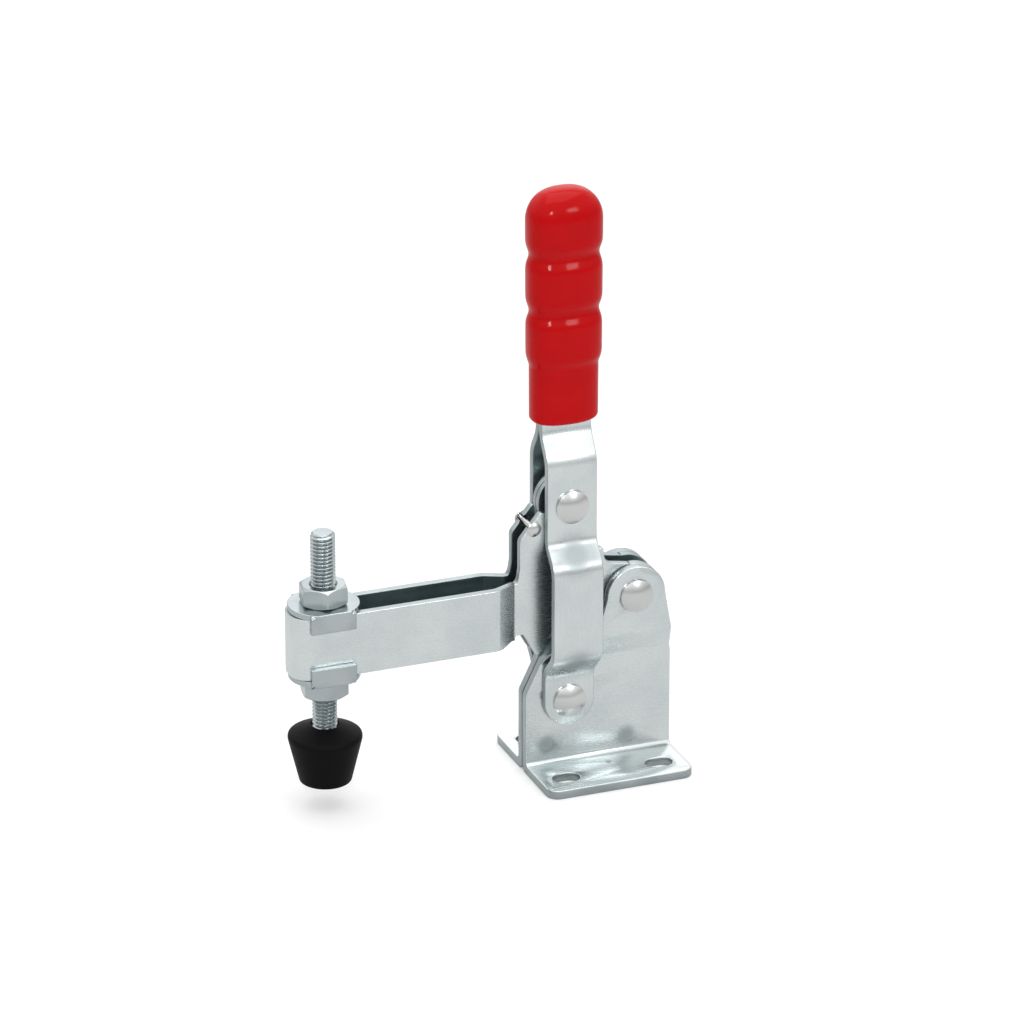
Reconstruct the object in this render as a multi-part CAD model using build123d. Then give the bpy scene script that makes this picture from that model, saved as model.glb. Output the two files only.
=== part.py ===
from build123d import *
import math
import os

os.makedirs("parts", exist_ok=True)

# Vertical toggle clamp. X runs along the clamping arm, whose nose points to -X.
# Z is up, Y is across. The origin is at the middle of the bolt pattern, on the
# underside of the feet. Every piece is built on the -Y side and mirrored to +Y.

# Running fits
pin_gap = 0.05
face_gap = 0.3

# Sheet thicknesses
base_sheet = 3.0
fork_sheet = 2.5
arm_sheet = 2.5
link_sheet = 2.0

# Pivot places in the side view, x and z
handle_pivot = (-11.0, 25.0)
arm_pivot = (11.0, 59.0)
link_length = 34.0
fork_pivot_span = 68.0
top_pivot = (handle_pivot[0], handle_pivot[1] + fork_pivot_span)
link_pivot = (top_pivot[0], top_pivot[1] - link_length)

# Rivets
rivet_radius = 3.5
head_radius = 5.5
head_height = 2.4
small_rivet_radius = 1.7
small_head_radius = 2.4
small_head_height = 1.2
head_rim = 0.4
spacer_radius = 5.0
bush_radius = 5.5

# Sheet layers across, measured out from the middle plane
link_inner = 0.2
link_outer = link_inner + link_sheet
arm_inner = link_outer + face_gap
arm_outer = arm_inner + arm_sheet
ear_inner = arm_outer + face_gap
ear_outer = ear_inner + base_sheet
fork_top_inner = ear_inner
fork_top_outer = fork_top_inner + fork_sheet
wall_inner = 0.3
wall_outer = wall_inner + base_sheet
fork_foot_inner = wall_outer + face_gap
fork_foot_outer = fork_foot_inner + fork_sheet
fork_wide_inner = ear_outer + head_height + 2 * face_gap
tang_inner = 0.1
past = 1.0  # how far a cutting shape runs past what it cuts

# Base
base_length = 50.0
base_width = 50.0
foot_corner = 4.0
foot_bend = 1.5
foot_under_bend = 2.4
wall_bend = 2.0
wall_low_left = 27.6
wall_shoulder = (handle_pivot[0] - 7.0, 42.0)
ear_radius = 10.0
wall_spread_low = handle_pivot[1] + 13.6
wall_spread_high = arm_pivot[1] - ear_radius - 2.0
wall_right_knee = 36.0
slot_length = 9.0
slot_width = 6.5
slot_spacing = 32.0
slot_row_spacing = 32.0

# Handle fork and grip
fork_width = 17.0
fork_corner = 1.0
fork_bend = 1.5
foot_joggle_low = 10.5
foot_joggle_high = 18.5
wide_top = math.dist(handle_pivot, arm_pivot) + ear_radius - 2.3
wide_joggle = 6.5
tang_joggle_low = 83.0
tang_joggle_high = 91.0
grip_bottom = 120.5
grip_length = 80.0
grip_width = 25.5
grip_thickness = 18.0
grip_groove = 1.1
grip_lobe_pitch = 19.5
grip_skirt = 0.75 * grip_lobe_pitch
grip_taper = 0.7
grip_lip = 2.0
tang_length = 60.0
tang_gap = 0.1

# Clamping arm
arm_nose = -104.0
arm_width = 16.0
nose_radius = 6.5
arm_bend = 4.0
arm_low = 47.0
arm_high = 68.0
arm_neck_low = 50.0
horn_tip = (-21.5, 41.0)
horn_half = 5.0
pinch_start = -41.0
pinch_end = -34.0
riser_left = -27.8
riser_right = top_pivot[0] - spacer_radius - 2 * face_gap
riser_tip = -20.5
riser_top = 91.5
riser_shoulder = 82.5
arm_shelf = 76.0
arm_shelf_end = 1.0
stop_rivet = (-23.0, 86.0)

# Link
link_ear = 9.5
link_foot = 7.5

# Clamping spindle
spindle_x = -92.0
spindle_radius = 4.0
spindle_top = 94.0
spindle_chamfer = 0.8
nut_flats = 13.0
nut_height = 6.5
nut_chamfer = 0.9
washer_radius = 11.5
washer_sheet = 2.0
washer_lip = 4.5
washer_lip_length = 15.0
washer_side_gap = 0.1
pad_low = 8.5
pad_rim = 24.0
pad_dome = 4.0
pad_foot_radius = 8.3
pad_rim_radius = 12.0
pad_edge = 0.8
pad_crown_radius = spindle_radius + 2.0
pad_socket_depth = 10.0


def outline(corners):
    """A closed face from corners, each x, z and its rounding radius."""
    points = [(x, z) for x, z, _ in corners]
    radii = [r for _, _, r in corners]
    return make_face(FilletPolyline(*points, radius=radii, close=True))


def slab(side_face, inner, outer):
    """A side-view face made solid on the -Y side, from inner to outer off the middle."""
    return extrude(Plane.XZ.offset(inner) * side_face, amount=outer - inner)


def disc(centre, radius, inner, outer):
    """A round slab on the -Y side about a pivot."""
    return slab(Pos(*centre) * Circle(radius), inner, outer)


def cross_pin(centre, radius, half_length):
    """A plain pin across the clamp, the same length on both sides."""
    return extrude(Plane.XZ * (Pos(*centre) * Circle(radius)), amount=half_length, both=True)


def both_sides(piece):
    """The piece on the -Y side, and its mirror image on the +Y side."""
    return piece, mirror(piece, about=Plane.XZ)


def bent_strip(inner_line, thickness, bend, x_low, x_high):
    """A sheet bent across, from its inner line of distance out and height, with its bends rounded."""
    directions = []
    for (y0, z0), (y1, z1) in zip(inner_line, inner_line[1:]):
        run = math.hypot(y1 - y0, z1 - z0)
        directions.append(((y1 - y0) / run, (z1 - z0) / run))
    outer_line = []
    for i, (y, z) in enumerate(inner_line):
        before = directions[max(i - 1, 0)]
        after = directions[min(i, len(directions) - 1)]
        ny, nz = before[1] + after[1], -(before[0] + after[0])
        size = math.hypot(ny, nz)
        ny, nz = ny / size, nz / size
        mitre = thickness / (ny * before[1] - nz * before[0])
        outer_line.append((y + ny * mitre, z + nz * mitre))
    ends = (0, len(inner_line) - 1)
    corners = [(-y, z, 0 if i in ends else bend) for i, (y, z) in enumerate(inner_line)]
    back = [(-y, z, 0 if i in ends else bend) for i, (y, z) in enumerate(outer_line)]
    face = outline(corners + back[::-1])
    return extrude(Plane.YZ.offset(x_low) * face, amount=x_high - x_low)


def head(centre, base, radius, height):
    """A domed rivet head on the -Y side, standing on the distance base."""
    dome_height = height - head_rim
    sphere_radius = (radius**2 + dome_height**2) / (2 * dome_height)
    centre_out = base + height - sphere_radius
    ball = Pos(centre[0], -centre_out, centre[1]) * Sphere(sphere_radius)
    return disc(centre, radius, base, base + height) & ball


def rivet(centre, radius, out, big_radius, big_height):
    """A rivet across the clamp with a domed head on each side."""
    heads = both_sides(head(centre, out, big_radius, big_height))
    return cross_pin(centre, radius, out) + heads[0] + heads[1]


def base_plate():
    """One L-shaped plate: a slotted foot, a wall and the ear of the arm pivot."""
    half = base_length / 2
    ear_x, ear_z = arm_pivot
    ear_top = ear_z + ear_radius
    foot_out = base_width / 2
    line = [(wall_inner, 0), (wall_inner, wall_spread_low)]
    line += [(ear_inner, wall_spread_high), (ear_inner, ear_top + past)]
    wall = bent_strip(line, base_sheet, wall_bend, -half, half)
    side = outline(
        [
            (-half, 0, 0),
            (half, 0, 0),
            (half, wall_right_knee, 8),
            (ear_x + ear_radius * 0.95, ear_z + 3, 0),
            (ear_x, ear_top, 0),
            (ear_x - ear_radius, ear_z, 0),
            (ear_x - ear_radius - 3, arm_pivot[1] - ear_radius, 5),
            (*wall_shoulder, 8),
            (-half, wall_low_left, 4),
        ]
    )
    side = side + Pos(ear_x, ear_z) * Circle(ear_radius)
    wall = wall & slab(side, 0, ear_outer + past)
    foot_length = foot_out - wall_inner
    foot_face = Pos(0, -(wall_inner + foot_length / 2)) * Rectangle(base_length, foot_length)
    outer_corners = foot_face.vertices().group_by(Axis.Y)[0]
    foot_face = fillet(outer_corners, foot_corner)
    foot = extrude(foot_face, amount=base_sheet)
    slots = [Pos(side_x, -slot_row_spacing / 2) * SlotOverall(slot_length, slot_width)
             for side_x in (-slot_spacing / 2, slot_spacing / 2)]
    for slot in slots:
        foot = foot - extrude(slot, amount=base_sheet)
    plate = wall + foot
    inner_bend = plate.edges().filter_by(Axis.X)
    inner_bend = [e for e in inner_bend if abs(e.center().Z - base_sheet) < 0.01
                  and abs(e.center().Y + wall_outer) < 0.01]
    plate = fillet(inner_bend, foot_bend)
    under_bend = [e for e in plate.edges().filter_by(Axis.X) if abs(e.center().Z) < 0.01
                  and abs(e.center().Y + wall_inner) < 0.01]
    plate = fillet(under_bend, min(foot_under_bend, 0.8 * base_sheet))
    plate = plate - disc(handle_pivot, rivet_radius + pin_gap, 0, wall_outer + past)
    return plate - disc(arm_pivot, rivet_radius + pin_gap, 0, ear_outer + past)


def fork_strip():
    """One half of the handle fork, from the foot pivot up to the tang in the grip."""
    x, z = handle_pivot
    tip = grip_bottom + tang_length
    line = [
        (fork_foot_inner, z - fork_width),
        (fork_foot_inner, z + foot_joggle_low),
        (fork_wide_inner, z + foot_joggle_high),
        (fork_wide_inner, z + wide_top),
        (fork_top_inner, z + wide_top + wide_joggle),
        (fork_top_inner, z + tang_joggle_low),
        (tang_inner, z + tang_joggle_high),
        (tang_inner, tip),
    ]
    strip = bent_strip(line, fork_sheet, fork_bend, x - fork_width / 2, x + fork_width / 2)
    side = outline(
        [
            (x - fork_width / 2, z, 0),
            (x + fork_width / 2, z, 0),
            (x + fork_width / 2, tip, fork_corner),
            (x - fork_width / 2, tip, fork_corner),
        ]
    )
    side = side + Pos(x, z) * Circle(fork_width / 2)
    strip = strip & slab(side, 0, fork_wide_inner + fork_sheet + past)
    strip = strip - disc(handle_pivot, rivet_radius + pin_gap, 0, fork_foot_outer + past)
    return strip - disc(top_pivot, rivet_radius + pin_gap, 0, fork_top_outer + past)


def link_plate():
    """One of the two inner link plates, a plate with two unequal ears."""
    ears = [Pos(*top_pivot) * Circle(link_ear), Pos(*link_pivot) * Circle(link_foot)]
    side = make_hull(ears[0].edges() + ears[1].edges())
    plate = slab(side, link_inner, link_outer)
    plate = plate - disc(top_pivot, rivet_radius + pin_gap, 0, link_outer + past)
    return plate - disc(link_pivot, rivet_radius + pin_gap, 0, link_outer + past)


def arm_bar():
    """The clamping arm: one strip folded round the nose, with both its pivot plates."""
    half = arm_width / 2
    rear = arm_pivot[0] + ear_radius + past
    slant = math.atan2(half - arm_outer, pinch_end - pinch_start)
    shift = arm_sheet * math.tan(slant / 2)
    outer = [(arm_nose, -half, nose_radius), (pinch_start, -half, arm_bend)]
    outer += [(pinch_end, -arm_outer, arm_bend), (rear, -arm_outer, 0)]
    inner = [(arm_nose + arm_sheet, arm_sheet - half, nose_radius - arm_sheet)]
    inner += [(pinch_start - shift, arm_sheet - half, arm_bend)]
    inner += [(pinch_end - shift, -arm_inner, arm_bend), (rear + past, -arm_inner, 0)]
    ring = outline(outer + [(x, -y, r) for x, y, r in outer[::-1]])
    ring = ring - outline(inner + [(x, -y, r) for x, y, r in inner[::-1]])
    low = horn_tip[1] - past
    folded = extrude(Pos(0, 0, low) * ring, amount=riser_top + past - low)
    ear_x, ear_z = arm_pivot
    side = outline(
        [
            (arm_nose - past, arm_low, 0),
            (pinch_start + 2, arm_low, 3),
            (pinch_end + 3, arm_neck_low, 3),
            (horn_tip[0] - horn_half, arm_neck_low, 1.5),
            (*horn_tip, 1.0),
            (horn_tip[0] + horn_half, arm_neck_low, 3),
            (ear_x - 1, ear_z - ear_radius, 0),
            (ear_x + ear_radius / 2, ear_z, 0),
            (ear_x - 1, ear_z + ear_radius, 0),
            (arm_shelf_end, ear_z + ear_radius + 1.5, 4),
            (arm_shelf_end, arm_shelf, 1.0),
            (riser_right, arm_shelf, 3),
            (riser_right, riser_top - 2, 0.8),
            (riser_tip, riser_top, 1.5),
            (riser_left, riser_shoulder, 3),
            (riser_left, arm_high, 5),
            (arm_nose - past, arm_high, 0),
        ]
    )
    side = side + Pos(ear_x, ear_z) * Circle(ear_radius)
    bar = folded & extrude(Plane.XZ * side, amount=half + past, both=True)
    bar = bar - cross_pin(arm_pivot, rivet_radius + pin_gap, half)
    bar = bar - cross_pin(link_pivot, rivet_radius, half)
    return bar - cross_pin(stop_rivet, small_rivet_radius, half)


def grip_half_width(above):
    """Half the grip's width at a height above its lower end: a skirt, then three finger lobes."""
    rise = above - grip_skirt
    if rise < 0:
        depth = grip_groove / 2
    elif rise < 2.5 * grip_lobe_pitch:
        depth = grip_groove * (1 + math.cos(2 * math.pi * rise / grip_lobe_pitch)) / 2
    else:
        depth = 0
    return grip_width / 2 - depth - grip_taper * (1 - above / grip_length)


def grip():
    """The dipped grip: oval sections lofted through the finger lobes, with a domed top."""
    step = grip_lobe_pitch / 4
    shoulder = grip_skirt + 2.75 * grip_lobe_pitch
    levels = [i * step for i in range(round(shoulder / step) + 1)]
    sections = [(level, grip_half_width(level)) for level in levels]
    sections[0] = (0, grip_half_width(0) - grip_lip)
    shoulder, shoulder_width = sections[-1]
    for turn in (35, 60, 78):
        angle = math.radians(turn)
        level = shoulder + (grip_length - shoulder) * math.sin(angle)
        sections.append((level, shoulder_width * math.cos(angle) ** 0.8))
    squash = grip_thickness / grip_width
    x = handle_pivot[0]
    body = loft([Pos(x, 0, grip_bottom + z) * Ellipse(w, w * squash) for z, w in sections])
    slot_half = tang_inner + fork_sheet + tang_gap
    slot_face = Rectangle(fork_width + 2 * tang_gap, 2 * slot_half)
    slot_length = tang_length + tang_gap + past
    return body - extrude(Pos(x, 0, grip_bottom - past) * slot_face, amount=slot_length)


def nut(low):
    """A hexagon nut with both faces chamfered by a cone, on the spindle."""
    across_corners = nut_flats / math.cos(math.pi / 6)
    hexagon = RegularPolygon(across_corners / 2, 6, rotation=30)
    body = extrude(Pos(spindle_x, 0, low) * hexagon, amount=nut_height)
    top = across_corners / 2
    flare = nut_chamfer * math.sqrt(3)
    rim = Polyline((0, 0), (top - flare, 0), (top, nut_chamfer), (top, nut_height - nut_chamfer),
                   (top - flare, nut_height), (0, nut_height), close=True)
    turned = revolve(Plane.XZ * make_face(rim), Axis.Z)
    body = body & Pos(spindle_x, 0, low) * turned
    bore = Cylinder(spindle_radius + pin_gap, nut_height * 3)
    return body - Pos(spindle_x, 0, low) * bore


def flanged_washer(face, toward):
    """A round washer whose two lips hook over the arm's sides. toward is 1 upwards."""
    plate = Cylinder(washer_radius, washer_sheet)
    plate = Pos(spindle_x, 0, face + toward * washer_sheet / 2) * plate
    lip_inner = arm_width / 2 + washer_side_gap
    lip_outer = lip_inner + washer_sheet
    band = Box(washer_lip_length, 2 * lip_outer, washer_lip + washer_sheet)
    middle = face + toward * (washer_sheet - washer_lip) / 2
    band = Pos(spindle_x, 0, middle) * band
    band = fillet([e for e in band.edges().filter_by(Axis.X)
                   if (e.center().Z - face) * toward > 0], washer_sheet * 0.9)
    room = 4 * washer_radius
    gap = Pos(spindle_x, 0, face - toward * room / 2) * Box(room, 2 * lip_inner, room)
    trim = Pos(spindle_x, 0, face) * Box(room, 2 * lip_outer, room)
    washer = (plate & trim) + (band - gap)
    return washer - Pos(spindle_x, 0, face) * Cylinder(spindle_radius + pin_gap, room)


def pad():
    """The rubber pad: a cone that widens upwards, a shallow dome and a socket."""
    side = make_face(
        Polyline(
            (0, pad_low),
            (pad_foot_radius - pad_edge, pad_low),
            (pad_foot_radius, pad_low + pad_edge),
            (pad_rim_radius, pad_rim),
            (pad_rim_radius - pad_edge, pad_rim + pad_edge),
            (pad_crown_radius, pad_rim + pad_dome),
            (0, pad_rim + pad_dome),
            close=True,
        )
    )
    turned = Pos(spindle_x, 0, 0) * revolve(Plane.XZ * side, Axis.Z)
    floor = pad_rim + pad_dome - pad_socket_depth
    socket = Cylinder(spindle_radius + pin_gap, pad_socket_depth + past,
                      align=(Align.CENTER, Align.CENTER, Align.MIN))
    return turned - Pos(spindle_x, 0, floor) * socket


def spindle():
    """The threaded rod as a plain rod with chamfered ends, standing in the pad's socket."""
    low = pad_rim + pad_dome - pad_socket_depth
    rod = Cylinder(spindle_radius, spindle_top - low, align=(Align.CENTER, Align.CENTER, Align.MIN))
    rod = chamfer(rod.edges().filter_by(GeomType.CIRCLE), spindle_chamfer)
    return Pos(spindle_x, 0, low) * rod


pieces = {}
pieces["base_front"], pieces["base_back"] = both_sides(base_plate())
pieces["fork_front"], pieces["fork_back"] = both_sides(fork_strip())
pieces["link_front"], pieces["link_back"] = both_sides(link_plate())
pieces["clamp_arm"] = arm_bar()
pieces["grip"] = grip()
pieces["handle_pivot_rivet"] = rivet(
    handle_pivot, rivet_radius, fork_foot_outer, head_radius, head_height)
pieces["arm_pivot_rivet"] = rivet(arm_pivot, rivet_radius, ear_outer, head_radius, head_height)
pieces["top_pivot_rivet"] = rivet(
    top_pivot, rivet_radius, fork_top_outer, head_radius, head_height)
pieces["link_pin"] = cross_pin(link_pivot, rivet_radius, link_outer)
pieces["arm_stop_rivet"] = rivet(
    stop_rivet, small_rivet_radius, arm_outer, small_head_radius, small_head_height)

bush = cross_pin(arm_pivot, bush_radius, arm_inner)
pieces["arm_pivot_bush"] = bush - cross_pin(arm_pivot, rivet_radius + pin_gap, arm_inner)
for side_name, stud in zip(("front", "back"), both_sides(
        disc(link_pivot, rivet_radius, arm_inner, arm_outer))):
    pieces["link_stud_" + side_name] = stud
ring = disc(top_pivot, spacer_radius, link_outer, fork_top_inner)
ring = ring - disc(top_pivot, rivet_radius + pin_gap, 0, fork_top_inner)
for side_name, spacer in zip(("front", "back"), both_sides(ring)):
    pieces["top_spacer_" + side_name] = spacer

pieces["upper_washer"] = flanged_washer(arm_high, 1)
pieces["lower_washer"] = flanged_washer(arm_low, -1)
pieces["upper_nut"] = nut(arm_high + washer_sheet)
pieces["lower_nut"] = nut(arm_low - washer_sheet - nut_height)
pieces["spindle"] = spindle()
pieces["pad"] = pad()

for node, piece in pieces.items():
    piece.label = node
    export_step(piece, f"parts/{node}.step")
    print(node, len(piece.solids()), round(piece.volume, 1))
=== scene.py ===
# %% [markdown]
# A vertical toggle clamp holds a workpiece down on a fixture plate. Its body is bent and
# riveted from zinc-plated steel sheet, its handle ends in a red dipped grip, and a threaded
# spindle carries a rubber pad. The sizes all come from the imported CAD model, which is loaded
# first. Its flat pieces get softened copies, and its turned, threaded and moulded pieces are
# worked out again as smooth surfaces.

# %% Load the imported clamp
import math

import bmesh
import bpy
import numpy as np
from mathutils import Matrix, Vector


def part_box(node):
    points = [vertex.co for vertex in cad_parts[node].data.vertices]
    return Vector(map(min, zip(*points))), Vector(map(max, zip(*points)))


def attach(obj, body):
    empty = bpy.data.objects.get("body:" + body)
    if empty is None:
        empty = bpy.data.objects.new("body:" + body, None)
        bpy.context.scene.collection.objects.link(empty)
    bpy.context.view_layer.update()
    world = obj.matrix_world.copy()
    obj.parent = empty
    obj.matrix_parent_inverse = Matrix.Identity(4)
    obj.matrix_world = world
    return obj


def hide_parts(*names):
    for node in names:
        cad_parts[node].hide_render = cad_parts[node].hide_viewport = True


MM = 0.001
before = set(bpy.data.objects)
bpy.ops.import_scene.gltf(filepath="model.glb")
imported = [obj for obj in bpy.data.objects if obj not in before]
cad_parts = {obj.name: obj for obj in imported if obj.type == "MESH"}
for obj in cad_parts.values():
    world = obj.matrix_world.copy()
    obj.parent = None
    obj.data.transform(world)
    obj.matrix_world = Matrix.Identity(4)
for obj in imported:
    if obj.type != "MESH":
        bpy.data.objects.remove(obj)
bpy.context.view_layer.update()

# %% [markdown]
# Every finish below is a Principled shader with a pattern behind it. A colour is picked on a
# screen as an sRGB hex value, while the shader adds and multiplies light, so it wants linear
# numbers. One function turns the first into the second, and one adds a node with its settings.

# %% Colour and node helpers
def linear(hex_colour):
    """sRGB hex to linear: c / 12.92 near black, otherwise ((c + 0.055) / 1.055) ** 2.4."""
    channels = [int(hex_colour[i:i + 2], 16) / 255 for i in (1, 3, 5)]
    return [c / 12.92 if c < 0.04045 else ((c + 0.055) / 1.055) ** 2.4 for c in channels] + [1]


def add(tree, kind, values=None, links=None, **settings):
    """Adds one node, sets its properties and input values, and links its inputs."""
    node = tree.nodes.new(kind)
    for name, value in settings.items():
        setattr(node, name, value)
    for socket, value in (values or {}).items():
        node.inputs[socket].default_value = value
    for socket, source in (links or {}).items():
        tree.links.new(source, node.inputs[socket])
    return node


def new_material(name):
    """An empty material with its shader, its output and the Object coordinates."""
    material = bpy.data.materials.new(name)
    material.use_nodes = True
    tree = material.node_tree
    tree.nodes.clear()
    shader = add(tree, "ShaderNodeBsdfPrincipled")
    add(tree, "ShaderNodeOutputMaterial", links={"Surface": shader.outputs["BSDF"]})
    place = add(tree, "ShaderNodeTexCoord").outputs["Object"]
    print("finish:", name)
    return material, tree, shader, place


# %% [markdown]
# Blue-white zinc plating is a metal coat a few thousandths of a millimetre thick on cold-rolled
# sheet. The rolls leave faint lines along the sheet, and the plating bath leaves soft cloudy
# patches.
# A few round patches are duller and darker: three on the base, and two on the fork's bends, which
# are painted shade. A long stretched noise gives the rolling lines, which move the roughness a
# little, and a broad one gives the clouds in the colour.
# The faces that look into a fold are painted darker, as painted shade for the shade between the
# plates, and the torn face that a punch leaves on the sheet's edge is darker and rougher too.

# %% Zinc-plated sheet
ROLL_LINE = 0.35
ROLL_STRETCH = 40
CLOUD = 14.0
CLOUD_WAVE = 0.015
GRIT = 0.12
GRIT_HEIGHT = 0.01
PATCH_ROUGHNESS = 0.55
# Dull darker patches on the base: the middle and the radius of each, in mm.
BASE_DARK_PATCHES = [((-18.0, -3.3, 9.6), 4.2), ((10.0, -3.3, 8.4), 4.6), ((1.0, -10.0, 3.0), 1.6)]
fork_low, fork_high = (np.array(corner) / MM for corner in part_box("fork_front"))
fork_middle = (fork_low[0] + fork_high[0]) / 2
# Painted shade on the fork's two bends: how far behind its front face, how far above its lower end,
# and the radius.
FORK_PAINTED_SHADE = [((fork_middle, fork_low[1] + behind, fork_low[2] + above), radius)
              for behind, above, radius in ((3.2, 61.0, 10.0), (3.0, 23.5, 8.0))]


def zinc(name, light="#ced4d4", dark="#c4cbcc", rough=(0.26, 0.285), dark_patches=(), long_axis=0):
    """Zinc plating: clouds of two greys, rolling lines, and dull darker patches, some of them
    painted shade.
    """
    material, tree, shader, place = new_material(name)
    stretch = [1 / (ROLL_LINE * MM)] * 3
    stretch[long_axis] /= ROLL_STRETCH
    lines = add(tree, "ShaderNodeMapping", {"Scale": stretch}, {"Vector": place})
    lines = add(tree, "ShaderNodeTexNoise", {"Scale": 1.0, "Detail": 2.0},
                {"Vector": lines.outputs["Vector"]})
    clouds = add(tree, "ShaderNodeTexNoise", {"Scale": 1 / (CLOUD * MM), "Detail": 3.0},
                 {"Vector": place})
    grit = add(tree, "ShaderNodeTexNoise", {"Scale": 1 / (GRIT * MM), "Detail": 1.0},
               {"Vector": place})
    tone = add(tree, "ShaderNodeMix", {"A": linear(dark), "B": linear(light)},
               data_type="RGBA")
    spread = add(tree, "ShaderNodeMapRange", {"From Min": 0.35, "From Max": 0.65},
                 {"Value": clouds.outputs["Fac"]})
    tree.links.new(spread.outputs["Result"], tone.inputs["Factor"])
    colour = tone.outputs["Result"]
    gloss = add(tree, "ShaderNodeMapRange",
                {"From Min": 0.3, "From Max": 0.7, "To Min": rough[0], "To Max": rough[1]},
                {"Value": lines.outputs["Fac"]}).outputs["Result"]
    # Each patch is rougher and mixed towards a dark grey; on the fork's bends it is painted shade.
    for centre, radius in dark_patches:
        far = add(tree, "ShaderNodeVectorMath", {1: [c * MM for c in centre]}, {0: place},
                  operation="DISTANCE")
        patch_weight = add(tree, "ShaderNodeMapRange",
                   {"From Min": radius * MM, "From Max": 0.2 * radius * MM,
                    "To Max": PATCH_ROUGHNESS},
                   {"Value": far.outputs["Value"]}, interpolation_type="SMOOTHSTEP")
        darkened = add(tree, "ShaderNodeMix", {"B": linear("#6c767a")},
                     {"Factor": patch_weight.outputs["Result"], "A": colour}, data_type="RGBA")
        colour = darkened.outputs["Result"]
        gloss = add(tree, "ShaderNodeMath", links={0: patch_weight.outputs["Result"], 1: gloss},
                    operation="MAXIMUM").outputs["Value"]
    tree.links.new(colour, shader.inputs["Base Color"])
    tree.links.new(gloss, shader.inputs["Roughness"])
    shader.inputs["Metallic"].default_value = 1.0
    waves = add(tree, "ShaderNodeBump", {"Strength": 0.25, "Distance": CLOUD_WAVE * MM},
                {"Height": clouds.outputs["Fac"]})
    fine = add(tree, "ShaderNodeBump", {"Strength": 0.12, "Distance": GRIT_HEIGHT * MM},
               {"Height": grit.outputs["Fac"], "Normal": waves.outputs["Normal"]})
    tree.links.new(fine.outputs["Normal"], shader.inputs["Normal"])
    return material


base_zinc = zinc("zinc_plated_base_sheet", dark_patches=BASE_DARK_PATCHES)
arm_zinc = zinc("zinc_plated_arm_sheet")
fork_zinc = zinc("zinc_plated_fork_sheet", dark_patches=FORK_PAINTED_SHADE, long_axis=2)
# Painted shade: the link plates inside the clamp get a darker copy of the zinc.
inner_shade_zinc = zinc("inner_plates_painted_shade", "#a9b1b3", "#8f999c", long_axis=2)
# Painted shade: a darker, rougher copy of the zinc for the faces that look into a fold.
painted_shade_zinc = zinc("painted_shade_inside_folds", "#8c9c9e", "#798a8c", (0.3, 0.42))
edge_zinc = zinc("zinc_on_punched_edges", "#aab2b3", "#99a1a3", (0.34, 0.42))

# %% [markdown]
# Rivets are plated steel pins whose heads are rolled down on the machine, which leaves them
# smoother and a little warmer than the sheet. Spindle, nuts and washers are plated in a drum with
# many other small parts. Their faces keep more of the dull plating salt, so they are darker.

# %% Rivet and fastener steel
rivet_steel = zinc("rolled_rivet_steel", "#c9cac9", "#c0c2c1", (0.2, 0.24))
fastener_steel = zinc("zinc_plated_fastener_steel", "#adb5b6", "#9da6a9", (0.26, 0.27),
                      long_axis=2)

# %% [markdown]
# The grip is dipped: the warm steel tang goes into liquid PVC, which sets on it as a thick, glossy
# and slightly wavy skin. PVC has an IOR of about 1.53. Light goes a little way in, which keeps the
# red rich in its shaded parts, so the shader gets some subsurface light. The studio here is white
# all round, and its mirror image would turn the red to pink, so the specular level is low.

# %% Dipped red vinyl
DIP_WAVE = 6.0
DIP_HEIGHT = 0.06
SKIN_GRAIN = 0.6
SKIN_HEIGHT = 0.01


def dipped_vinyl():
    """Glossy red PVC with the soft waves that dipping leaves."""
    material, tree, shader, place = new_material("dipped_red_vinyl")
    shader.inputs["IOR"].default_value = 1.53
    shader.inputs["Subsurface Weight"].default_value = 0.12
    shader.inputs["Subsurface Radius"].default_value = (0.9, 0.12, 0.08)
    shader.inputs["Subsurface Scale"].default_value = 1.5 * MM
    shader.inputs["Specular IOR Level"].default_value = 0.1
    waves = add(tree, "ShaderNodeTexNoise", {"Scale": 1 / (DIP_WAVE * MM), "Detail": 1.0},
                {"Vector": place})
    skin = add(tree, "ShaderNodeTexNoise", {"Scale": 1 / (SKIN_GRAIN * MM), "Detail": 2.0},
               {"Vector": place})
    tone = add(tree, "ShaderNodeMix", {"A": linear("#bc0308"), "B": linear("#c6060b")},
               {"Factor": waves.outputs["Fac"]}, data_type="RGBA")
    gloss = add(tree, "ShaderNodeMapRange", {"To Min": 0.08, "To Max": 0.12},
                {"Value": skin.outputs["Fac"]})
    bump = add(tree, "ShaderNodeBump", {"Strength": 0.3, "Distance": DIP_HEIGHT * MM},
               {"Height": waves.outputs["Fac"]})
    fine = add(tree, "ShaderNodeBump", {"Strength": 0.08, "Distance": SKIN_HEIGHT * MM},
               {"Height": skin.outputs["Fac"], "Normal": bump.outputs["Normal"]})
    tree.links.new(tone.outputs["Result"], shader.inputs["Base Color"])
    tree.links.new(gloss.outputs["Result"], shader.inputs["Roughness"])
    tree.links.new(fine.outputs["Normal"], shader.inputs["Normal"])
    return material


red_vinyl = dipped_vinyl()

# %% [markdown]
# The pad is neoprene rubber, pressed in a mould. Carbon black makes it nearly black, and its skin
# is matt with a fine grain, about a fifth of a millimetre, and a few faint paler scuffs.

# %% Moulded black rubber
RUBBER_GRAIN = 0.2
GRAIN_HEIGHT = 0.03
SCUFF = 3.0


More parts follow.
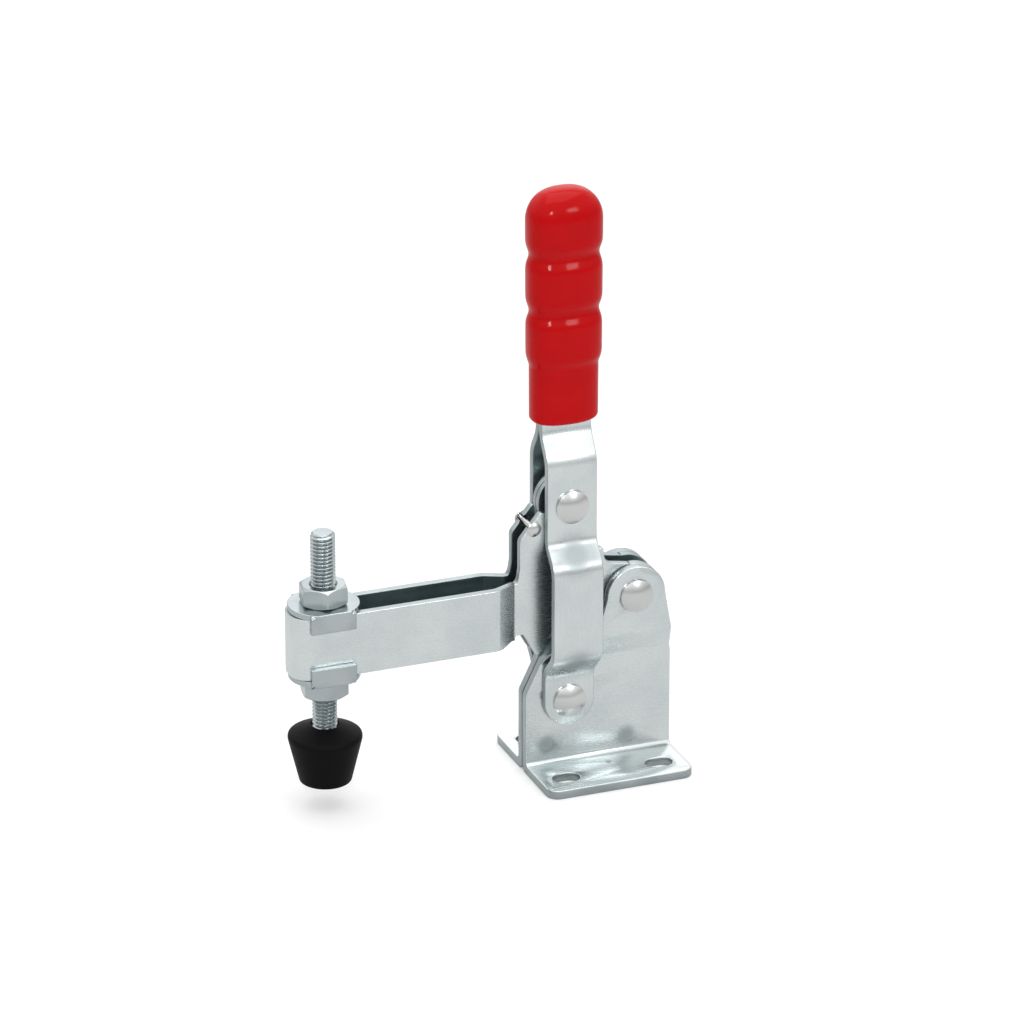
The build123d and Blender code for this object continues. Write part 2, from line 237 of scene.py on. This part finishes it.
def moulded_rubber():
    """Matt black rubber with fine grain and faint grey scuffs."""
    material, tree, shader, place = new_material("moulded_black_rubber")
    shader.inputs["IOR"].default_value = 1.52
    shader.inputs["Specular IOR Level"].default_value = 0.05
    grain = add(tree, "ShaderNodeTexNoise", {"Scale": 1 / (RUBBER_GRAIN * MM), "Detail": 3.0},
                {"Vector": place})
    scuff = add(tree, "ShaderNodeTexNoise", {"Scale": 1 / (SCUFF * MM), "Detail": 4.0},
                {"Vector": place})
    tone = add(tree, "ShaderNodeMix", {"A": linear("#0b0b0c"), "B": linear("#131315")},
               {"Factor": scuff.outputs["Fac"]}, data_type="RGBA")
    gloss = add(tree, "ShaderNodeMapRange", {"To Min": 0.42, "To Max": 0.62},
                {"Value": scuff.outputs["Fac"]})
    bump = add(tree, "ShaderNodeBump", {"Strength": 0.25, "Distance": GRAIN_HEIGHT * MM},
               {"Height": grain.outputs["Fac"]})
    tree.links.new(tone.outputs["Result"], shader.inputs["Base Color"])
    tree.links.new(gloss.outputs["Result"], shader.inputs["Roughness"])
    tree.links.new(bump.outputs["Normal"], shader.inputs["Normal"])
    return material


black_rubber = moulded_rubber()

# %% [markdown]
# Punched sheet never has a knife edge: the punch draws the top edge in, and tumbling before the
# plating rounds the rest. That thin rounding is what catches the light. The CAD copy is merged
# into one skin first, because a bevel needs faces that share their edges. Normals weighted by the
# faces' areas then keep the large flats flat, and leave the bending light to the small faces. The
# base goes without that: its walls bend apart so slightly that the bend would show as a stripe.

# %% Finish, body and node of a piece
SIDEWAYS = 0.5


def finish_piece(piece, node, body, material, cut=None):
    """Gives a piece its finish and its body, and hides the CAD node that it stands for.

    On a sheet piece, cut says which faces the punch made, from their middles and normals.
    Faces that look towards the middle plane get a darker zinc, painted shade for the inside of a
    fold.
    """
    mesh = piece.data
    mesh.materials.clear()
    mesh.materials.append(material)
    if cut:
        mesh.materials.append(painted_shade_zinc)
        mesh.materials.append(edge_zinc)
        centre = np.array([face.center for face in mesh.polygons]) / MM
        normal = np.array([face.normal for face in mesh.polygons])
        # Faces that look towards the middle plane get the painted shade.
        painted_shade_faces = (centre[:, 1] * normal[:, 1] < 0) & (np.abs(normal[:, 1]) > SIDEWAYS)
        finish = np.where(cut(centre, np.abs(normal)), 2, painted_shade_faces.astype(np.int32))
        mesh.polygons.foreach_set("material_index", finish.astype(np.int32))
    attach(piece, body)
    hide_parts(node)
    return piece


# %% [markdown]
# The punch tears its way through the last part of the sheet, so a cut edge is duller than the
# face beside it. Painting each edge by hand would be slow. A face tells by its direction: the
# edges of a flat sheet look across it. Where the sheet is bent, the place of the face decides
# which way is across.

# %% Which faces the punch made
FOOT_TOP = 3.1
WALL_FROM = 20.0
RISER_FROM = -29.0
FORK_END_TOP = 25.0


def base_cut(centre, normal):
    """Edges of the wall look along X or Z, and those of the foot along X or Y."""
    wall = (centre[:, 2] > WALL_FROM) & (normal[:, 1] < SIDEWAYS)
    foot = (centre[:, 2] < FOOT_TOP) & (normal[:, 2] < SIDEWAYS)
    return (normal[:, 0] > 0.8 * SIDEWAYS) | wall | foot


def arm_cut(centre, normal):
    """The long bar's edges look up and down, and its pivot plates are cut all round."""
    plates = (centre[:, 0] > RISER_FROM) & (normal[:, 1] < SIDEWAYS)
    return (normal[:, 2] > SIDEWAYS) | plates


def fork_cut(centre, normal):
    """A fork strip's edges look along X, and round its lower end along Z too."""
    end = (centre[:, 2] < FORK_END_TOP) & (normal[:, 1] < SIDEWAYS)
    return (normal[:, 0] > SIDEWAYS) | end


def plate_cut(centre, normal):
    """A flat plate's edges all look across its sheet."""
    return normal[:, 1] < SIDEWAYS


# %% [markdown]
# The rounding is a Bevel modifier with two segments, about a third of a millimetre wide on the
# thick sheet. Its angle limit leaves the facets of the bends alone, and takes the true edges.

# %% Softened copies of the sheet pieces
EDGE = 0.35
LINK_EDGE = 0.25
WASHER_EDGE = 0.3
SHARP = math.radians(32)
MERGE = 0.002
TINY_EDGE = 0.01
SAME_PLANE = math.radians(0.5)


def softened(node, body, material, cut, edge=EDGE, moved=None, flat=True):
    """A copy of a CAD node, merged into one skin, with its real edges rounded.

    moved holds places along X in the node and where they go, and what lies between is stretched.
    flat weights the normals by the faces' areas.
    """
    mesh = bpy.data.meshes.new(node + "_soft")
    skin = bmesh.new()
    skin.from_mesh(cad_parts[node].data)
    bmesh.ops.remove_doubles(skin, verts=skin.verts, dist=MERGE * MM)
    bmesh.ops.dissolve_degenerate(skin, edges=skin.edges, dist=TINY_EDGE * MM)
    bmesh.ops.dissolve_limit(skin, angle_limit=SAME_PLANE, verts=skin.verts, edges=skin.edges)
    skin.to_mesh(mesh)
    skin.free()
    if moved:
        places = np.empty(len(mesh.vertices) * 3, np.float32)
        mesh.vertices.foreach_get("co", places)
        places[0::3] = np.interp(places[0::3] / MM, moved[0], moved[1]) * MM
        mesh.vertices.foreach_set("co", places)
    mesh.shade_smooth()
    piece = bpy.data.objects.new(node + "_soft", mesh)
    bpy.context.scene.collection.objects.link(piece)
    bevel = piece.modifiers.new("edge", "BEVEL")
    bevel.width = edge * MM
    bevel.segments = 2
    bevel.limit_method = "ANGLE"
    bevel.angle_limit = SHARP
    bevel.use_clamp_overlap = False
    bevel.harden_normals = not flat
    if flat:
        flats = piece.modifiers.new("flats", "WEIGHTED_NORMAL")
        flats.weight = 100
        flats.keep_sharp = True
    print(node, "has", len(mesh.polygons), "faces")
    return finish_piece(piece, node, body, material, cut)


# The real arm steps in just before its riser, later than in the solid.
ARM_PLACES = (-110, -60, -41, -34, -28, 30)
ARM_MOVED = (-110, -60, -36, -29.6, -27.9, 30)

for side in ("front", "back"):
    softened("base_" + side, "base", base_zinc, base_cut, flat=False)
    softened("link_" + side, "link", inner_shade_zinc, plate_cut, LINK_EDGE)
softened("clamp_arm", "arm", arm_zinc, arm_cut, moved=(ARM_PLACES, ARM_MOVED))
for side in ("upper", "lower"):
    softened(side + "_washer", "arm", fastener_steel, None, WASHER_EDGE)

# %% [markdown]
# The small pins, spacers and the bush inside the linkage have the right shape already, so they
# stay as the CAD made them and only get their steel.

# %% Inner pins
for node in ("link_pin", "arm_pivot_bush", "link_stud_front", "link_stud_back",
             "top_spacer_front", "top_spacer_back"):
    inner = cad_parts[node]
    if not inner.material_slots:
        inner.data.materials.append(rivet_steel)
    for place in inner.material_slots:
        place.material = rivet_steel

# %% [markdown]
# The rest are surfaces on a grid: one direction runs along a profile, the other goes round. A
# helper joins neighbouring grid points into quads and merges the points that meet at a pole.

# %% Skin a grid of points
POLE = 0.0005


def skin_grid(name, grid, ring=False, sharp=40):
    """Quads between neighbours of a rows x columns x 3 grid, closed round its columns."""
    rows, columns = grid.shape[:2]
    row = np.arange(rows if ring else rows - 1)[:, None]
    column = np.arange(columns)[None, :]
    after, beside = (row + 1) % rows, (column + 1) % columns
    faces = np.stack([row * columns + column, row * columns + beside,
                      after * columns + beside, after * columns + column], axis=-1)
    mesh = bpy.data.meshes.new(name)
    mesh.from_pydata(grid.reshape(-1, 3) * MM, [], faces.reshape(-1, 4))
    skin = bmesh.new()
    skin.from_mesh(mesh)
    bmesh.ops.remove_doubles(skin, verts=skin.verts, dist=POLE * MM)
    bmesh.ops.recalc_face_normals(skin, faces=skin.faces)
    skin.to_mesh(mesh)
    skin.free()
    mesh.shade_smooth()
    mesh.set_sharp_from_angle(angle=math.radians(sharp))
    piece = bpy.data.objects.new(name, mesh)
    bpy.context.scene.collection.objects.link(piece)
    print(name, "has", len(mesh.polygons), "faces")
    return piece


def middle(node):
    """The middle of a CAD node's box and half its size, in mm."""
    low, high = (np.array(corner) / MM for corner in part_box(node))
    return (low + high) / 2, (high - low) / 2


# %% [markdown]
# Bent sheet and moulded rubber have no sharp corners. A profile is written as a few corner points,
# as on a drawing, and each corner is then swapped for a short curve. A circle's arc would need its
# centre worked out, while this curve only needs two points beside the corner and the corner.

# %% Ease the corners of a line
def eased(corners, radius, steps=6):
    """Each corner becomes a curve (1-t)^2 a + 2t(1-t) corner + t^2 b between points beside it."""
    corners = np.array(corners, float)
    before = corners[1:-1] - corners[:-2]
    after = corners[2:] - corners[1:-1]
    reach = np.minimum(np.linalg.norm(before, axis=1), np.linalg.norm(after, axis=1)) / 2
    reach = np.minimum(reach, radius)[:, None]
    a = corners[1:-1] - before / np.linalg.norm(before, axis=1)[:, None] * reach
    b = corners[1:-1] + after / np.linalg.norm(after, axis=1)[:, None] * reach
    t = np.linspace(0, 1, steps)[None, :, None]
    curve = (1 - t) ** 2 * a[:, None] + 2 * t * (1 - t) * corners[1:-1][:, None]
    curve = curve + t ** 2 * b[:, None]
    return np.concatenate([corners[:1], curve.reshape(-1, 2), corners[-1:]])


# %% [markdown]
# Each fork half is a strip of 2.5 mm sheet with soft bends. It could be bent with a modifier, but
# a strip is one cross-section carried along a line, so it is made that way: the line follows the
# middle of the sheet, and the section is a rectangle with rounded corners. The lower end is round,
# because the section's width follows a half circle there.

# %% Fork strips
FORK_SHEET = 2.5
# How far the sheet's inner face stands from the middle plane, in mm, from the lower end up.
FORK_LAYERS = {"foot": 3.6, "wide": 11.3, "top": 5.3, "tang": 0.1}
# Each bend's height above the lower pivot, and the layer that the sheet is in there.
FORK_BENDS = ((10.5, "foot"), (18.5, "wide"), (48.2, "wide"), (54.7, "top"), (83.0, "top"),
              (91.0, "tang"))
FORK_EDGE = 0.5
BEND_REACH = 2.8


def offset_line(corners, distance):
    """Moves a line sideways: each corner goes along its mitre, distance / cos(half the turn)."""
    step = np.diff(corners, axis=0)
    step /= np.linalg.norm(step, axis=1)[:, None]
    before = np.vstack([step[:1], step])
    after = np.vstack([step, step[-1:]])
    mitre = before + after
    normal = np.stack([mitre[:, 1], -mitre[:, 0]], axis=1)
    normal /= np.linalg.norm(normal, axis=1)[:, None]
    across = normal[:, 0] * before[:, 1] - normal[:, 1] * before[:, 0]
    return corners + normal * (distance / across)[:, None]


def fork_strip(side, sign):
    """Section of half width w(d) = sqrt(R^2 - (R - d)^2) near the round end, then R."""
    node = "fork_" + side
    centre, half = middle(node)
    low, high, wide = centre[2] - half[2], centre[2] + half[2], half[0]
    pivot = low + wide
    bends = [(FORK_LAYERS[layer], pivot + above) for above, layer in FORK_BENDS]
    inner = np.array([(FORK_LAYERS["foot"], low)] + bends + [(FORK_LAYERS["tang"], high)])
    line = eased(offset_line(inner, FORK_SHEET / 2), BEND_REACH, 16)
    length = np.concatenate([[0], np.cumsum(np.linalg.norm(np.diff(line, axis=0), axis=1))])
    round_end = wide * (1 - np.cos(np.linspace(0, np.pi / 2, 18)))
    station = np.concatenate([round_end, np.linspace(wide, length[-1], 260)[1:]])
    out, up = (np.interp(station, length, line[:, k]) for k in (0, 1))
    slope = np.stack([np.gradient(out, station), np.gradient(up, station)])
    slope /= np.linalg.norm(slope, axis=0)
    short = np.clip(wide - station, 0, None)
    reach = np.sqrt(wide ** 2 - short ** 2)[:, None]
    turn = np.linspace(0, 2 * np.pi, 32, endpoint=False) + np.pi / 32
    edge = np.minimum(FORK_EDGE, reach)
    across = np.sign(np.cos(turn)) * (reach - edge) + edge * np.cos(turn)
    thick = np.sign(np.sin(turn)) * (FORK_SHEET / 2 - FORK_EDGE) + FORK_EDGE * np.sin(turn)
    grid = np.stack([centre[0] + across,
                     sign * (out[:, None] + thick * slope[1][:, None]),
                     up[:, None] - thick * slope[0][:, None]], axis=-1)
    cap = np.broadcast_to(grid[-1].mean(axis=0), (1,) + grid[-1].shape)
    piece = skin_grid(node + "_bent", np.concatenate([grid, cap]))
    return finish_piece(piece, node, "handle", fork_zinc, fork_cut)


fork_strip("front", -1)
fork_strip("back", 1)

# %% [markdown]
# A rivet head is rolled by a tool that orbits it, which leaves a low dome with a soft rim. One
# profile from pole to pole holds both heads and the pin between them, and turns about Y.

# %% Rivets
RIVET_HEAD = 2.4
RIVET_PIN = 0.63
STOP_HEAD = 1.2
STOP_PIN = 0.45
RIM_SHARE = 0.36
RIM_IN = 0.05
RIM_UP = 0.12
TUCK = 0.25


def rivet(node, body, head_height, pin_share):
    """Profile: out(r) = rim + (height - rim) (1 - (r/R)^2) for the dome, then the plain pin."""
    centre, half = middle(node)
    head_radius, reach = half[0], half[1]
    rim = RIM_SHARE * head_height
    r = head_radius * np.sin(np.linspace(0, np.pi / 2, 18))
    dome = reach - head_height + rim + (head_height - rim) * (1 - (r / head_radius) ** 2)
    under = reach - head_height
    tuck = head_radius - TUCK
    pin = pin_share * head_radius
    r = np.concatenate([r, [head_radius - RIM_IN, tuck, pin]])
    out = np.concatenate([dome, [under + RIM_UP, under, under]])
    radius = np.concatenate([r, r[::-1]])
    along = np.concatenate([-out, out[::-1]])
    turn = np.linspace(0, 2 * np.pi, 64, endpoint=False)
    grid = np.stack([centre[0] + radius[:, None] * np.cos(turn),
                     centre[1] + along[:, None] + 0 * turn,
                     centre[2] + radius[:, None] * np.sin(turn)], axis=-1)
    piece = skin_grid(node + "_rolled", grid, sharp=50)
    return finish_piece(piece, node, body, rivet_steel)


for node, body in (("handle_pivot_rivet", "base"), ("arm_pivot_rivet", "base"),
                   ("top_pivot_rivet", "handle")):
    rivet(node, body, RIVET_HEAD, RIVET_PIN)
rivet("arm_stop_rivet", "arm", STOP_HEAD, STOP_PIN)

# %% [markdown]
# The spindle is an M8 stud with a pitch of 1.25 mm, and the thread shows clearly above the nut
# and above the pad. A thread is a radius that rises and falls along the axis and shifts by one
# pitch each turn. Its flanks meet at 60 degrees, with a flat crest and a flat root.

# %% Threaded spindle
PITCH = 1.25
THREAD_DEPTH = 0.61 * PITCH
FLANK = 2.67
CREST = 0.17
SPINDLE_CHAMFER = 0.9
SPINDLE_SIDES = 48


def spindle():
    """r = R - depth * clamp(flank |phase - 0.5| - crest), with phase = z / pitch - turn / 360."""
    centre, half = middle("spindle")
    low, high = centre[2] - half[2], centre[2] + half[2]
    z = np.linspace(low, high, int((high - low) / PITCH * 10))[:, None]
    turn = np.linspace(0, 2 * np.pi, SPINDLE_SIDES, endpoint=False)[None, :]
    phase = (z / PITCH - turn / (2 * np.pi)) % 1
    groove = np.clip(FLANK * np.abs(phase - 0.5) - CREST, 0, 1)
    chamfer = half[0] - SPINDLE_CHAMFER + np.minimum(z - low, high - z)
    radius = np.minimum(half[0] - THREAD_DEPTH * groove, chamfer)
    grid = np.stack([centre[0] + radius * np.cos(turn), centre[1] + radius * np.sin(turn),
                     z + 0 * turn], axis=-1)
    poles = np.broadcast_to([[[centre[0], centre[1], low]], [[centre[0], centre[1], high]]],
                            (2, SPINDLE_SIDES, 3))
    grid = np.concatenate([poles[:1], grid, poles[1:]])
    piece = skin_grid("spindle_threaded", grid, sharp=35)
    return finish_piece(piece, "spindle", "arm", fastener_steel)


spindle()

# %% [markdown]
# A nut starts as a hexagon bar, and a cutter cones both its ends at 30 degrees. Where the cone
# meets a flat side the edge is an arc. On the grid that arc comes by itself: the side's edge is
# lowered by its distance outside the washer face.

# %% Nuts
NUT_SPREAD = 1.08
NUT_TURN = math.radians(9)
NUT_FACE = 0.95
NUT_CONE = math.radians(30)
NUT_BORE = 4.05
NUT_MOUTH = 4.6
MOUTH_DEPTH = 0.55
NUT_EDGE = 0.15


def nut(node):
    """Side r(t) = flats / 2 / cos(t mod 60 - 30); its edge drops by (r - face radius) tan 30."""
    centre, half = middle(node)
    flat = NUT_SPREAD * half[0]
    turn = np.linspace(0, 2 * np.pi, 96, endpoint=False)
    side = flat / np.cos((turn % (np.pi / 3)) - np.pi / 6)
    face = NUT_FACE * flat
    drop = (side - face) * math.tan(NUT_CONE)
    top = half[2]
    radius = np.stack(np.broadcast_arrays(NUT_BORE, NUT_MOUTH, face, side, side, face, NUT_MOUTH,
                                          NUT_BORE))
    level = np.stack(np.broadcast_arrays(MOUTH_DEPTH - top, -top, -top, drop - top, top - drop,
                                         top, top, top - MOUTH_DEPTH))
    turn = turn + NUT_TURN
    grid = np.stack([centre[0] + radius * np.sin(turn), centre[1] + radius * np.cos(turn),
                     centre[2] + level], axis=-1)
    piece = skin_grid(node + "_cut", grid, ring=True, sharp=20)
    bevel = piece.modifiers.new("edge", "BEVEL")
    bevel.width = NUT_EDGE * MM
    bevel.segments = 2
    bevel.limit_method = "ANGLE"
    bevel.angle_limit = math.radians(24)
    return finish_piece(piece, node, "arm", fastener_steel)


for node in ("upper_nut", "lower_nut"):
    nut(node)

# %% [markdown]
# The rubber pad widens from its foot to a rounded rim, and closes over the spindle in a shallow
# cone. It is turned from one profile whose corners are eased, so it needs no bevel.

# %% Rubber pad
PAD_FOOT = 8.3
PAD_RIM_DOWN = 4.3
PAD_RIM_HIGH = 1.2
PAD_SHOULDER = 5.6
PAD_MOUTH = 4.6
PAD_BORE = 4.05
PAD_BORE_DEPTH = 3.0
PAD_EASE = 0.7


def pad():
    """The eased profile of radius against height, turned about the spindle."""
    centre, half = middle("pad")
    low, high = centre[2] - half[2], centre[2] + half[2]
    rim = half[0]
    rim_level = high - PAD_RIM_DOWN
    floor = high - PAD_BORE_DEPTH
    profile = eased([(0, low), (PAD_FOOT, low), (rim, rim_level),
                     (rim - 0.3, rim_level + PAD_RIM_HIGH), (PAD_SHOULDER, high - 0.4),
                     (PAD_MOUTH, high), (PAD_BORE, high - 0.6), (PAD_BORE, floor),
                     (0, floor)], PAD_EASE)
    turn = np.linspace(0, 2 * np.pi, 96, endpoint=False)
    grid = np.stack([centre[0] + profile[:, :1] * np.cos(turn),
                     centre[1] + profile[:, :1] * np.sin(turn),
                     profile[:, 1:] + 0 * turn], axis=-1)
    piece = skin_grid("pad_moulded", grid, sharp=60)
    return finish_piece(piece, "pad", "arm", black_rubber)


pad()

# %% [markdown]
# The grip is an oval sleeve with three finger lobes. Each groove is narrow and each lobe is broad,
# because the former has rings on it and the dip fills them softly. A raised cosine to a power
# gives that. The grooves are deeper on the broad front and back than on the narrow sides. The top
# is close to half an ellipsoid, and the lower rim rolls under to the steel.

# %% Dipped grip
LOBE_PITCH = 18.7
SKIRT = 18.3
LOBES = 3
GROOVE = 0.95
FRONT_GROOVE = 1.45
GROOVE_POWER = 5
OVAL = 2.4
GRIP_DOME = 10.5
DOME_POWER = 0.78
GRIP_SHORT = 2.4
TAPER = 0.3
LIP = 1.6
LIP_INNER = 2.6
LIP_WALL = 0.8


def grip():
    """Half width = W - taper - groove * ((1 + cos(2 pi rise / pitch)) / 2)^5, on an oval ring.

    The ring is |x / width|^n + |y / depth|^n = 1, with n = OVAL. The dome is cos^0.78 of the angle.
    """
    centre, half = middle("grip")
    low, length = centre[2] - half[2], 2 * half[2] - GRIP_SHORT
    dome_start = length - GRIP_DOME
    rise = np.linspace(LIP, dome_start, 130)
    ring = ((1 + np.cos(2 * np.pi * (rise - SKIRT) / LOBE_PITCH)) / 2) ** GROOVE_POWER
    ring = np.where(rise < SKIRT, 1.0, ring)
    ring = np.where(rise > SKIRT + (LOBES - 0.5) * LOBE_PITCH, 0.0, ring)
    plain = half[0] - TAPER - TAPER * (1 - rise / length)
    width = plain - GROOVE * ring
    depth = (plain * half[1] / half[0] - FRONT_GROOVE * ring) / width
    angle = np.linspace(0, np.pi / 2, 20)[1:]
    dome_width = width[-1] * np.cos(angle) ** DOME_POWER
    dome_rise = dome_start + (length - dome_start) * np.sin(angle)
    roll = np.linspace(np.pi, np.pi / 2, 8)[:-1]
    roll_width = width[0] - LIP + LIP * np.sin(roll)
    roll_rise = LIP + LIP * np.cos(roll)
    # Inside the lip the underside steps up to a flat floor, which closes round the fork.
    inner = np.array([0.0, width[0] - LIP_INNER - LIP_WALL, width[0] - LIP_INNER])
    inner_rise = np.array([0.9, 0.9, 0.25])
    squash = np.concatenate([np.full(len(inner) + len(roll), depth[0]), depth,
                             np.full(len(angle), depth[-1])])[:, None]
    width = np.concatenate([inner, roll_width, width, dome_width])
    rise = np.concatenate([inner_rise, roll_rise, rise, dome_rise])
    turn = np.linspace(0, 2 * np.pi, 112, endpoint=False)
    oval_x = np.sign(np.cos(turn)) * np.abs(np.cos(turn)) ** (2 / OVAL)
    oval_y = np.sign(np.sin(turn)) * np.abs(np.sin(turn)) ** (2 / OVAL)
    grid = np.stack([centre[0] + width[:, None] * oval_x,
                     centre[1] + width[:, None] * squash * oval_y,
                     low + rise[:, None] + 0 * turn], axis=-1)
    piece = skin_grid("grip_dipped", grid, sharp=70)
    return finish_piece(piece, "grip", "handle", red_vinyl)


grip()

# %% [markdown]
# The studio is a white sweep. Its paper is a pale grey that keeps the shadow. It glows a little
# for the camera, so that it runs into the white behind it without a line, and faintly where the
# metal mirrors it. A lamp on the floor would have brightened the clamp as well.

# %% Studio floor
FLOOR_SIZE = 12.0
CAMERA_GLOW = 0.3
MIRROR_GLOW = 0.08


def studio_floor():
    """Emission = CAMERA_GLOW to the camera, MIRROR_GLOW in a reflection, and 0 elsewhere."""
    bpy.ops.mesh.primitive_plane_add(size=FLOOR_SIZE)
    floor = bpy.context.object
    floor.name = "studio_floor"
    material, tree, shader, _ = new_material("studio_paper")
    shader.inputs["Base Color"].default_value = linear("#dedede")
    shader.inputs["Roughness"].default_value = 0.9
    shader.inputs["Specular IOR Level"].default_value = 0.0
    path = add(tree, "ShaderNodeLightPath")
    seen = add(tree, "ShaderNodeMapRange", {"To Min": 0.0, "To Max": CAMERA_GLOW},
               {"Value": path.outputs["Is Camera Ray"]})
    glow = add(tree, "ShaderNodeMath", {1: MIRROR_GLOW},
               {0: path.outputs["Is Glossy Ray"], 2: seen.outputs["Result"]},
               operation="MULTIPLY_ADD")
    shader.inputs["Emission Color"].default_value = (1, 1, 1, 1)
    tree.links.new(glow.outputs["Value"], shader.inputs["Emission Strength"])
    floor.data.materials.append(material)


studio_floor()

# %% [markdown]
# The world has three faces. To the camera it is plain white. The metal mirrors a room that is grey
# at the horizon and bright overhead, which gives each bend its dark and its bright line. All other
# light comes from a dimmer world that is brighter above and behind, so upright faces stay a little
# darker than level ones.

# %% World
def studio_world():
    """Strength = 1 to the camera, the mirrored room to glossy rays, above + behind to others."""
    world = bpy.data.worlds.new("studio_world")
    bpy.context.scene.world = world
    world.use_nodes = True
    tree = world.node_tree
    tree.nodes.clear()
    direction = add(tree, "ShaderNodeTexCoord").outputs["Generated"]
    parts = add(tree, "ShaderNodeSeparateXYZ", links={"Vector": direction})
    above = add(tree, "ShaderNodeMapRange",
                {"From Min": 0.0, "From Max": 0.75, "To Min": 0.18, "To Max": 0.7},
                {"Value": parts.outputs["Z"]}, interpolation_type="SMOOTHSTEP")
    behind = add(tree, "ShaderNodeMapRange",
                 {"From Min": 0.0, "From Max": 0.9, "To Min": 0.0, "To Max": 0.5},
                 {"Value": parts.outputs["Y"]}, interpolation_type="SMOOTHSTEP")
    soft = add(tree, "ShaderNodeMath", operation="ADD",
               links={0: above.outputs["Result"], 1: behind.outputs["Result"]})
    mirrored = add(tree, "ShaderNodeMapRange",
                   {"From Min": -0.05, "From Max": 0.45, "To Min": 0.45, "To Max": 1.35},
                   {"Value": parts.outputs["Z"]})
    path = add(tree, "ShaderNodeLightPath")
    room = add(tree, "ShaderNodeMix",
               links={"Factor": path.outputs["Is Glossy Ray"], "A": soft.outputs["Value"],
                      "B": mirrored.outputs["Result"]})
    strength = add(tree, "ShaderNodeMix", {"B": 1.0},
                   {"Factor": path.outputs["Is Camera Ray"], "A": room.outputs["Result"]})
    light = add(tree, "ShaderNodeBackground", {"Color": (1, 1, 1, 1)},
                {"Strength": strength.outputs["Result"]})
    add(tree, "ShaderNodeOutputWorld", links={"Surface": light.outputs["Background"]})


studio_world()

# %% [markdown]
# Four soft lamps stand round the clamp. The large ones above and behind draw broad lines along the
# bends. The two small ones at the front are the studio's windows: each leaves one short highlight
# on the shoulder of every lobe of the grip.

# %% Lamps
BODY_AIM = (-0.03, 0.0, 0.08)
GRIP_AIM = (-0.01, 0.0, 0.14)


def lamp(name, place, aim, size, power):
    """A square soft lamp at a place, turned to its aim, both in metres."""
    light = bpy.data.lights.new(name, "AREA")
    light.size = size
    light.energy = power
    holder = bpy.data.objects.new(name, light)
    bpy.context.scene.collection.objects.link(holder)
    holder.location = place
    back = np.array(place) - np.array(aim)
    holder.rotation_euler = (math.acos(back[2] / np.linalg.norm(back)), 0,
                             math.atan2(back[1], back[0]) + math.pi / 2)
    print(name, "gives", power, "W from", round(float(np.linalg.norm(back)), 2), "m off")


lamp("lamp_over", (0.0, 0.05, 1.1), BODY_AIM, 1.0, 5.0)
lamp("lamp_left", (-0.52, -1.0, 0.68), GRIP_AIM, 0.17, 2.8)
lamp("lamp_window", (0.35, -0.95, 0.6), GRIP_AIM, 0.22, 1.5)
lamp("lamp_behind", (0.5, 1.3, 0.75), BODY_AIM, 1.2, 2.0)

# %% [markdown]
# The photograph is nearly without perspective, so the camera stands 2 m off with a long lens. It
# looks from the left of the front and from above.

# %% Camera
CAMERA_TURN = math.radians(-21.4)
CAMERA_RISE = math.radians(23.0)
CAMERA_FAR = 2.0
CAMERA_AIM = (-0.0284, 0.0, 0.0908)
FOCAL_PIXELS = 6329
PHOTO_PIXELS = 1024


def camera():
    """Stands on a sphere about its aim; lens = focal pixels / photo pixels * sensor width."""
    data = bpy.data.cameras.new("photo_camera")
    data.sensor_width = 36
    data.lens = FOCAL_PIXELS / PHOTO_PIXELS * data.sensor_width
    print("the lens is", round(data.lens, 1), "mm long")
    holder = bpy.data.objects.new("photo_camera", data)
    bpy.context.scene.collection.objects.link(holder)
    flat = CAMERA_FAR * math.cos(CAMERA_RISE)
    holder.location = (CAMERA_AIM[0] + flat * math.sin(CAMERA_TURN),
                       CAMERA_AIM[1] - flat * math.cos(CAMERA_TURN),
                       CAMERA_AIM[2] + CAMERA_FAR * math.sin(CAMERA_RISE))
    holder.rotation_euler = (math.pi / 2 - CAMERA_RISE, 0, CAMERA_TURN)
    bpy.context.scene.camera = holder


camera()
bpy.context.scene.view_settings.view_transform = "Standard"
